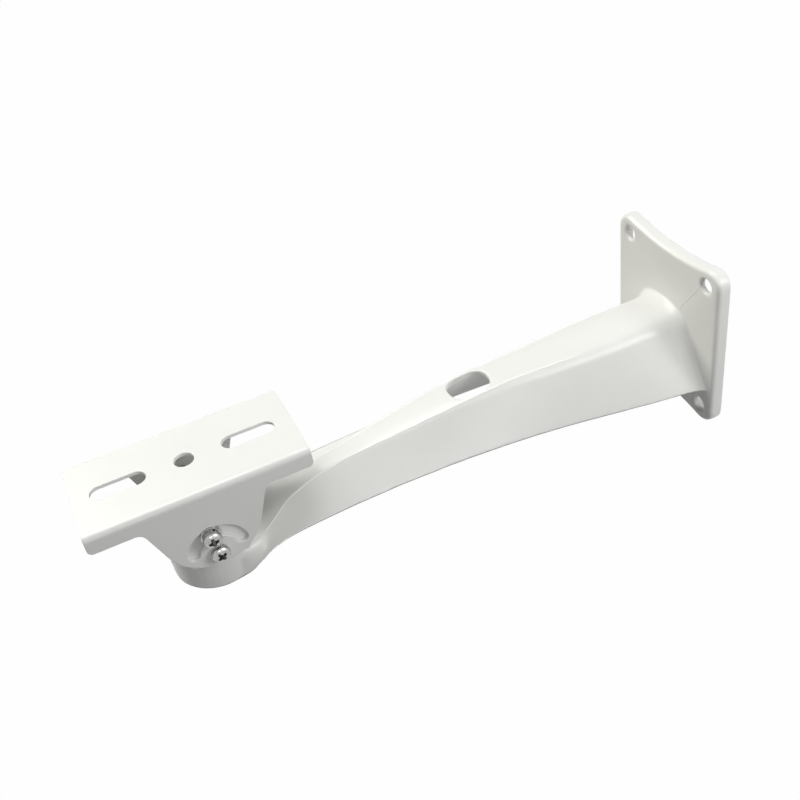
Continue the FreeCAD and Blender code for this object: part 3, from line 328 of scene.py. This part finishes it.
def carve(mesh, cutter):
    """Cuts one mesh out of another; the cut faces take the cutter's material, the near-black zinc that
    paints shade into the recess.
    """
    mesh.materials.append(ZINC)
    cutter.materials.append(RECESS_PAINTED_SHADE)
    body = bpy.data.objects.new("body", mesh)
    tool = bpy.data.objects.new("tool", cutter)
    for thing in (body, tool):
        bpy.context.collection.objects.link(thing)
    cut = body.modifiers.new("cut", "BOOLEAN")
    cut.operation = "DIFFERENCE"
    cut.solver = "EXACT"
    cut.material_mode = "TRANSFER"
    cut.object = tool
    result = bpy.data.meshes.new_from_object(body.evaluated_get(bpy.context.evaluated_depsgraph_get()))
    for thing in (body, tool):
        bpy.data.objects.remove(thing)
    return result


def cross_cutter(span, arm, depth, face):
    """The tapered point of a cross-head driver, going on above the face by a share of its depth."""
    def outline(shares):
        reach = span * shares[0]
        half = arm * shares[1]
        corner = arm * shares[2]
        points = []
        for quarter in range(4):
            turn = math.pi / 2 * quarter
            for x, y in ((reach, -half), (reach, half), (corner, half), (half, corner)):
                across = x * math.cos(turn) - y * math.sin(turn)
                up = x * math.sin(turn) + y * math.cos(turn)
                points.append(Vector((across, up, 0)))
        return points
    mouth = outline(CROSS_MOUTH)
    foot = outline(CROSS_FOOT)
    bm = bmesh.new()
    rows = []
    for share, height in ((1 + CROSS_OVER, face + CROSS_OVER * depth), (0, face - depth)):
        lift = Vector((0, 0, height))
        rows.append([bm.verts.new(low + (high - low) * share + lift) for high, low in zip(mouth, foot)])
    count = len(mouth)
    for i in range(count):
        j = (i + 1) % count
        bm.faces.new((rows[0][i], rows[0][j], rows[1][j], rows[1][i]))
    bm.faces.new(rows[0])
    point = bm.verts.new((0, 0, face - depth - CROSS_POINT))
    for i in range(count):
        bm.faces.new((rows[1][i], rows[1][(i + 1) % count], point))
    return finished(bm, "cross")


def add_shank(bm, face_row, neck, length, diameter, pitch, tip):
    """The threaded shank below a head: an undercut of `neck`, then thread to the tip."""
    top = ring(bm, (diameter / 2, 0))
    undercut = ring(bm, (diameter / 2 - THREAD_DEEP * pitch, -neck))
    skin(bm, [face_row, top, undercut])
    add_thread(bm, undercut, -neck, -length + tip, diameter, pitch)


def pan_screw(head_dia, head_tall, length, diameter, pitch, cross_span, cross_arm, cross_depth):
    """A pan head screw with a cross recess and a rolled thread."""
    edge = head_dia / 2
    dome = [(share * edge, head_tall * (1 - drop)) for share, drop in DOME]
    rim = [(edge - inset, height) for inset, height in HEAD_RIM]
    bm, rows = turned([(0, head_tall)] + dome + rim)
    add_shank(bm, rows[-1], SCREW_NECK, length, diameter, pitch, SCREW_TIP)
    cutter = cross_cutter(cross_span, cross_arm, cross_depth, head_tall)
    return carve(finished(bm, "pan_screw"), cutter)


def hex_bolt(flats, head_tall, length, diameter, pitch):
    """A hexagon bolt threaded to its head."""
    rim = flats * HEX_RIM
    dish = head_tall - DISH_DEEP
    bm, rows = turned([
        (0, dish), (rim * DISH_FLOOR, dish), (rim * DISH_EDGE, head_tall), (rim, head_tall),
        hex_edge(flats, head_tall, rim, CHAMFER), hex_edge(flats, COLLAR_TALL, rim, 0),
        (rim, COLLAR_TALL), (rim - COLLAR_INSET, 0)])
    add_shank(bm, rows[-1], BOLT_NECK, length, diameter, pitch, BOLT_TIP)
    return finished(bm, "hex_bolt")


def hex_nut(flats, tall, bore):
    """A nut chamfered on both faces, standing on 0."""
    rim = flats * HEX_RIM
    inner = bore / 2
    lead = 0.08 * bore
    profile = [
        (inner, lead), (inner + lead, 0), (rim, 0), hex_edge(flats, 0, rim, -CHAMFER),
        hex_edge(flats, tall, rim, CHAMFER), (rim, tall), (inner + lead, tall), (inner, tall - lead)]
    return finished(turned(profile, closed=True)[0], "hex_nut")


def flat_washer(outer, inner, thick):
    """A punched washer: rounded on its upper edges, nearly sharp below."""
    soft = min(WASHER_SOFT, thick * WASHER_SOFT)
    cut = soft * 0.3
    profile = [
        (inner, BURR), (inner + BURR, 0), (outer - SHEARED, 0), (outer, SHEARED),
        (outer, thick - soft), (outer - cut, thick - cut), (outer - soft, thick),
        (inner + soft, thick), (inner + cut, thick - cut), (inner, thick - soft)]
    return finished(turned(profile, closed=True)[0], "flat_washer")


def spring_washer(outer, inner, thick, gap):
    """A split spring washer pressed flat, its cut leaning as it is sheared."""
    soft = SPRING_SOFT * thick
    section = []
    corners = (
        (outer - soft, thick - soft, 0),
        (inner + soft, thick - soft, 90),
        (inner + soft, soft, 180),
        (outer - soft, soft, 270),
    )
    for corner_r, corner_z, start in corners:
        for step in range(4):
            angle = math.radians(start + 30 * step)
            section.append((corner_r + soft * math.cos(angle), corner_z + soft * math.sin(angle)))
    bm = bmesh.new()
    rows = []
    half_gap = gap / 2 / outer
    for step in range(TURN_STEPS + 1):
        share = step / TURN_STEPS
        row = []
        for radius, height in section:
            shift = SPRING_LEAN * (height - thick / 2) / outer
            angle = half_gap + (2 * math.pi - 2 * half_gap) * share + shift
            row.append(bm.verts.new(polar(radius, angle, height)))
        rows.append(row)
    tube(bm, rows)
    return finished(bm, "spring_washer")


# Fasteners in the places of their CAD nodes

OUTWARD = {
    "left": Vector((-1, 0, 0)),
    "right": Vector((1, 0, 0)),
    "down": Vector((0, 0, -1)),
    "up": Vector((0, 0, 1)),
}

# How far each is turned about its own axis, in degrees
SPINS = {"pivot_screw_left": 25, "pivot_screw_right": 32, "lock_screw_left": 70, "lock_screw_right": 8}
SMALL_SPRING_SPIN = 60
PAN_SPRING_SPIN = 200


def stand(mesh, node, way, spin):
    """A piece in place of a node: drawn +Z points `way` and the drawn base is the node's inner face."""
    low, high = (Vector(c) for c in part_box(node))
    middle = (low + high) / 2
    out_way = OUTWARD[way]
    span = abs((high - low).dot(out_way))
    base = middle - out_way * span / 2
    turn = out_way.to_track_quat("Z", "Y").to_matrix().to_4x4()
    spun = Matrix.Rotation(math.radians(spin), 4, "Z")
    spot = Matrix.Translation(base) @ turn @ spun @ Matrix.Scale(MM, 4)
    mesh = mesh.copy()
    mesh.name = node
    lift = -min(v.co.z for v in mesh.vertices)
    mesh.transform(Matrix.Translation((0, 0, lift)))
    mesh.transform(spot)
    crisp(mesh)
    piece = bpy.data.objects.new(node + "_detail", mesh)
    bpy.context.collection.objects.link(piece)
    if not mesh.materials:
        paint(piece, ZINC)
    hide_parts(node)
    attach(piece, "head")


screw_mesh = pan_screw(head_dia=8.4, head_tall=3.4, length=12.0, diameter=4.0, pitch=0.7,
                       cross_span=5.3, cross_arm=1.45, cross_depth=2.2)
nut_mesh = hex_nut(flats=7.0, tall=3.2, bore=4.1)
flat_mesh = flat_washer(outer=4.7, inner=2.05, thick=1.0)
spring_mesh = spring_washer(outer=3.7, inner=2.05, thick=1.4, gap=1.2)
bolt_mesh = hex_bolt(flats=13.0, head_tall=5.3, length=25.4, diameter=8.0, pitch=1.25)
pan_nut_mesh = hex_nut(flats=13.0, tall=6.5, bore=8.1)
pan_flat_mesh = flat_washer(outer=8.0, inner=4.05, thick=1.6)
pan_spring_mesh = spring_washer(outer=7.0, inner=4.05, thick=2.0, gap=1.2)
for side in ("left", "right"):
    for role in ("pivot", "lock"):
        name = "%s_screw_%s" % (role, side)
        stand(screw_mesh, name, side, SPINS[name])
        stand(nut_mesh, "%s_nut_%s" % (role, side), side, 0)
        stand(spring_mesh, "%s_spring_washer_%s" % (role, side), side, SMALL_SPRING_SPIN)
    stand(flat_mesh, "lock_flat_washer_%s" % side, side, 0)
stand(bolt_mesh, "pan_bolt", "down", 0)
stand(pan_nut_mesh, "pan_nut", "up", 0)
stand(pan_flat_mesh, "pan_flat_washer", "down", 0)
stand(pan_spring_mesh, "pan_spring_washer", "up", PAN_SPRING_SPIN)


# Rounded edges of the casting and the sheet pieces, in place of their CAD nodes

DOUBLE = 0.0005 * MM
FLAT_ANGLE = 0.3

# The casting: the grain of its surface, the rounding of its edges, and the share of faces kept
VOXEL = 0.3 * MM
SMOOTH_FACTOR = 0.5
SMOOTH_ROUNDS = 50
KEPT_SHARE = 0.12
SLIVER = 0.002 * MM

# The sheet pieces: their broken edges, and the angle above which an edge looks sharp
SHEAR_WIDE = 0.28 * MM
SHEAR_STEPS = 3
SHEAR_ANGLE = 40
FLAT_WEIGHT = 100
SHEET_CRISP = 35


def bare_copy(node):
    """The node's mesh without its stored normals, its doubled vertices joined."""
    source = nodes[node].data
    bm = bmesh.new()
    bm.from_mesh(source)
    bmesh.ops.remove_doubles(bm, verts=bm.verts, dist=DOUBLE)
    corners = [v.co[:] for v in bm.verts]
    bm.verts.index_update()
    faces = [[v.index for v in f.verts] for f in bm.faces]
    bm.free()
    mesh = bpy.data.meshes.new(node + "_soft")
    mesh.from_pydata(corners, [], faces)
    mesh.update()
    return mesh


def dressed(mesh, node, material, body, steps):
    """The piece that stands for a node, after the modifiers that `steps` adds to it."""
    work = bpy.data.objects.new("work", mesh)
    bpy.context.collection.objects.link(work)
    steps(work)
    result = bpy.data.meshes.new_from_object(work.evaluated_get(bpy.context.evaluated_depsgraph_get()))
    bpy.data.objects.remove(work)
    piece = bpy.data.objects.new(node + "_detail", result)
    bpy.context.collection.objects.link(piece)
    paint(piece, material)
    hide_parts(node)
    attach(piece, body)
    return piece


def cast_edges(work):
    """Edges and inner corners as a sand casting has them under its coat."""
    remesh = work.modifiers.new("remesh", "REMESH")
    remesh.mode = "VOXEL"
    remesh.voxel_size = VOXEL
    remesh.use_smooth_shade = True
    smooth = work.modifiers.new("smooth", "SMOOTH")
    smooth.factor = SMOOTH_FACTOR
    smooth.iterations = SMOOTH_ROUNDS
    thin = work.modifiers.new("thin", "DECIMATE")
    thin.ratio = KEPT_SHARE


def sheet_edges(work):
    """Sheared edges, broken and filled by the coat; the flats stay evenly shaded."""
    bevel = work.modifiers.new("bevel", "BEVEL")
    bevel.width = SHEAR_WIDE
    bevel.segments = SHEAR_STEPS
    bevel.limit_method = "ANGLE"
    bevel.angle_limit = math.radians(SHEAR_ANGLE)
    bevel.use_clamp_overlap = False
    bevel.miter_outer = "MITER_ARC"
    work.data.shade_smooth()
    flats = work.modifiers.new("flats", "WEIGHTED_NORMAL")
    flats.mode = "FACE_AREA"
    flats.weight = FLAT_WEIGHT


def without_slivers(mesh):
    """Closes the few triangles that the thinning left without area."""
    bm = bmesh.new()
    bm.from_mesh(mesh)
    bmesh.ops.dissolve_degenerate(bm, dist=SLIVER, edges=bm.edges)
    bmesh.ops.triangulate(bm, faces=bm.faces)
    bm.to_mesh(mesh)
    bm.free()


def flat_merged(mesh):
    """Joins coplanar triangles, so that edges are bevelled evenly."""
    bm = bmesh.new()
    bm.from_mesh(mesh)
    limit = math.radians(FLAT_ANGLE)
    bmesh.ops.dissolve_limit(bm, angle_limit=limit, verts=bm.verts, edges=bm.edges)
    bm.to_mesh(mesh)
    bm.free()
    return mesh


cast_piece = dressed(bare_copy("cast_arm"), "cast_arm", CAST, "arm", cast_edges)
without_slivers(cast_piece.data)
for node, body in (("camera_saddle", "saddle"), ("swivel_yoke", "head")):
    piece = dressed(flat_merged(bare_copy(node)), node, SHEET, body, sheet_edges)
    crisp(piece.data, SHEET_CRISP)


# Lines on the casting: what the mould left, a ridge bead with a painted highlight, and a foot-edge bead
# with painted shade

# Lighter coat on the ridge bead: a painted highlight along the near ridge.
RIDGE_PAINTED_HIGHLIGHT = powder_coat("cast_ridge_painted_highlight", (0.93, 0.93, 0.90), 0.2 * MM)
# Near-black coat on the foot beads along the arm and round the pad: painted shade where the edge turns
# under.
FOOT_PAINTED_SHADE = powder_coat("cast_edge_painted_shade", (0.17, 0.17, 0.155), 0.2 * MM)
BEAD_SIDES = 8
END_SHARE = 0.15
FADE_RATE = 3

# Each line's half width and height, the way its surface faces (across, up), and its reach from the wall
PLATE_FRONT = -7.0 * MM
LINE_ON_PLATE = ((11.6, 11.4), (13.4, 14.8), (16.4, 19.4), (20.2, 24.3), (23.6, 28.8), (25.6, 32.0))
PLATE_BEAD = (0.32 * MM, 0.10 * MM)
RIDGE_BEAD = (0.50 * MM, 0.15 * MM)
FOOT_BEAD = (0.32 * MM, 0.16 * MM)
RIDGE_WAY = (0.36, 0.93)
FOOT_WAY = (0.75, -0.66)
RIDGE_REACH = (-60 * MM, -236 * MM)
FOOT_REACH = (-12 * MM, -234 * MM)
SLICE = 1.5 * MM
ALONG_ROUNDS = 6

# The pad's foot line, in degrees about the pad, open where the neck meets it
PAD_REACH = -225 * MM
PAD_START = -205
PAD_SWEEP = 230
PAD_STEPS = 60
PAD_ROUNDS = 3


def bead(name, path, outward, size, material):
    """A low rounded ridge along a path, sunk into the surface and fading at both ends."""
    half_wide, tall = size
    bm = bmesh.new()
    rows = []
    last = len(path) - 1
    for index, place in enumerate(path):
        along = (path[min(index + 1, last)] - path[max(index - 1, 0)]).normalized()
        side = along.cross(outward[index]).normalized()
        fade = min(1, math.sin(math.pi * (index + END_SHARE) / (last + 2 * END_SHARE)) * FADE_RATE) ** 0.5
        row = []
        for step in range(BEAD_SIDES):
            angle = 2 * math.pi * step / BEAD_SIDES
            shift = side * math.cos(angle) * half_wide + outward[index] * math.sin(angle) * tall
            row.append(bm.verts.new(place + shift * fade))
        rows.append(row)
    tube(bm, rows)
    bmesh.ops.recalc_face_normals(bm, faces=bm.faces)
    mesh = bpy.data.meshes.new(name)
    bm.to_mesh(mesh)
    bm.free()
    mesh.shade_smooth()
    piece = bpy.data.objects.new(name, mesh)
    bpy.context.collection.objects.link(piece)
    paint(piece, material)
    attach(piece, "arm")


def slices(mesh, near, far):
    """The mesh's corners sorted into whole slices along the arm."""
    rows = {}
    for vertex in mesh.vertices:
        if far <= vertex.co.y <= near:
            rows.setdefault(int(-vertex.co.y / SLICE), []).append(vertex.co)
    return [rows[key] for key in sorted(rows)[1:-1]]


def outermost(corners, way):
    """The corner that lies furthest along a direction: where the surface faces that way."""
    return max(corners, key=way.dot).copy()


def smoothed(path, rounds):
    """The path with each inner point drawn between its neighbours."""
    for _ in range(rounds):
        inner = [(a + b * 2 + c) / 4 for a, b, c in zip(path, path[1:], path[2:])]
        path = path[:1] + inner + path[-1:]
    return path


def line_along_arm(name, way, reach, size, material):
    """A bead along the arm, where its surface faces `way`."""
    way = Vector(way).normalized()
    path = [outermost(corners, way) for corners in slices(cast_piece.data, *reach)]
    bead(name, smoothed(path, ALONG_ROUNDS), [way] * len(path), size, material)


plate_line = [Vector((x * MM, PLATE_FRONT, z * MM)) for x, z in LINE_ON_PLATE]
bead("casting_line_on_plate", plate_line, [Vector((0, -1, 0))] * len(plate_line), PLATE_BEAD, CAST)
for side, sign in (("right", 1), ("left", -1)):
    ridge_way = (RIDGE_WAY[0] * sign, 0, RIDGE_WAY[1])
    foot_way = (FOOT_WAY[0] * sign, 0, FOOT_WAY[1])
    line_along_arm("ridge_line_" + side, ridge_way, RIDGE_REACH, RIDGE_BEAD, RIDGE_PAINTED_HIGHLIGHT)
    line_along_arm("foot_line_" + side, foot_way, FOOT_REACH, FOOT_BEAD, FOOT_PAINTED_SHADE)
pad_path = []
pad_ways = []
pad_corners = [v.co for v in cast_piece.data.vertices if v.co.y < PAD_REACH]
for step in range(PAD_STEPS + 1):
    turn = math.radians(PAD_START + PAD_SWEEP * step / PAD_STEPS)
    way = Vector((math.cos(turn) * FOOT_WAY[0], math.sin(turn) * FOOT_WAY[0], FOOT_WAY[1]))
    pad_path.append(outermost(pad_corners, way))
    pad_ways.append(way)
bead("foot_line_pad", smoothed(pad_path, PAD_ROUNDS), pad_ways, FOOT_BEAD, FOOT_PAINTED_SHADE)


# Stage: floor, light and camera

FLOOR_DROP = 0.5
FLOOR_SIZE = 8.0
FLOOR_TONE = (0.12, 0.12, 0.12, 1)
FLOOR_ROUGH = 0.9
FLOOR_GLOW = 0.99
WHITE = (1, 1, 1, 1)
AMBIENT = 0.10

floor_mesh = bpy.data.meshes.new("floor")
half = FLOOR_SIZE / 2
floor_corners = [(x * half, y * half, -FLOOR_DROP) for x, y in ((-1, -1), (1, -1), (1, 1), (-1, 1))]
floor_mesh.from_pydata(floor_corners, [], [(0, 1, 2, 3)])
floor = bpy.data.objects.new("floor", floor_mesh)
bpy.context.collection.objects.link(floor)


def seen_directly(tree):
    """1 for rays from the camera, a mirror or glass."""
    path = tree.nodes.new("ShaderNodeLightPath")
    first = tree.nodes.new("ShaderNodeMath")
    first.operation = "MAXIMUM"
    tree.links.new(path.outputs["Is Camera Ray"], first.inputs[0])
    tree.links.new(path.outputs["Is Glossy Ray"], first.inputs[1])
    second = tree.nodes.new("ShaderNodeMath")
    second.operation = "MAXIMUM"
    tree.links.new(first.outputs[0], second.inputs[0])
    tree.links.new(path.outputs["Is Transmission Ray"], second.inputs[1])
    return second.outputs[0]


def floor_material():
    """A floor that reads as white to the camera and keeps a trace of the shadow."""
    material = bpy.data.materials.new("floor")
    material.use_nodes = True
    tree = material.node_tree
    plain = tree.nodes["Principled BSDF"]
    plain.inputs["Base Color"].default_value = FLOOR_TONE
    plain.inputs["Roughness"].default_value = FLOOR_ROUGH
    glow = tree.nodes.new("ShaderNodeEmission")
    share = tree.nodes.new("ShaderNodeMath")
    share.operation = "MULTIPLY"
    share.inputs[1].default_value = FLOOR_GLOW
    tree.links.new(seen_directly(tree), share.inputs[0])
    mix = tree.nodes.new("ShaderNodeMixShader")
    tree.links.new(share.outputs[0], mix.inputs[0])
    tree.links.new(plain.outputs[0], mix.inputs[1])
    tree.links.new(glow.outputs[0], mix.inputs[2])
    tree.links.new(mix.outputs[0], tree.nodes["Material Output"].inputs["Surface"])
    return material


floor.data.materials.append(floor_material())

scene = bpy.context.scene
world = bpy.data.worlds.new("studio")
scene.world = world
world.use_nodes = True
tree = world.node_tree
tree.nodes.clear()
dim = tree.nodes.new("ShaderNodeBackground")
dim.inputs["Color"].default_value = WHITE
dim.inputs["Strength"].default_value = AMBIENT
bright = tree.nodes.new("ShaderNodeBackground")
bright.inputs["Color"].default_value = WHITE
mix = tree.nodes.new("ShaderNodeMixShader")
out = tree.nodes.new("ShaderNodeOutputWorld")
tree.links.new(seen_directly(tree), mix.inputs[0])
tree.links.new(dim.outputs[0], mix.inputs[1])
tree.links.new(bright.outputs[0], mix.inputs[2])
tree.links.new(mix.outputs[0], out.inputs["Surface"])


# Lamps: what each aims at, from how far and how wide; then azimuth, elevation, watts and tone

STUDIO = (Vector((0, -0.13, 0)), 1.2, 0.4)
CLOSE = (Vector((0, -0.02, 0)), 0.5, 0.3)
NEUTRAL = (1.0, 1.0, 1.0)
WARM = (1.0, 0.99, 0.88)
LAMPS = (
    ("left_high", STUDIO, 180, 70, 3.5, NEUTRAL),
    ("front_left_high", STUDIO, 210, 50, 4.4, NEUTRAL),
    ("front_left", STUDIO, 225, 30, 6.6, WARM),
    ("side", STUDIO, 345, 30, 2.2, NEUTRAL),
    ("wall_side", STUDIO, 45, 30, 2.0, NEUTRAL),
    ("wall_end", CLOSE, 20, 35, 1.2, NEUTRAL),
)


def lamp(name, aim, azimuth, elevation, power, tone):
    """A square soft light."""
    target, away, wide = aim
    data = bpy.data.lights.new(name, "AREA")
    data.size = wide
    data.energy = power
    data.color = tone
    around = math.radians(azimuth)
    up = math.radians(elevation)
    way = Vector((math.cos(around) * math.cos(up), math.sin(around) * math.cos(up), math.sin(up)))
    thing = bpy.data.objects.new(name, data)
    thing.location = target + way * away
    thing.rotation_euler = (-way).to_track_quat("-Z", "Y").to_euler()
    bpy.context.collection.objects.link(thing)


for entry in LAMPS:
    lamp(*entry)


# Camera, as it was fitted to the photograph

LENS = 46.18
SENSOR = 36
NEAR = 0.01
EYE = (0.35311, -0.27196, 0.31387)
TURN = (50.760, 7.703, 65.308)
camera_data = bpy.data.cameras.new("camera")
camera_data.lens = LENS
camera_data.sensor_width = SENSOR
camera_data.clip_start = NEAR
camera = bpy.data.objects.new("camera", camera_data)
camera.location = EYE
camera.rotation_euler = [math.radians(a) for a in TURN]
bpy.context.collection.objects.link(camera)
scene.camera = camera

scene.view_settings.view_transform = "Standard"
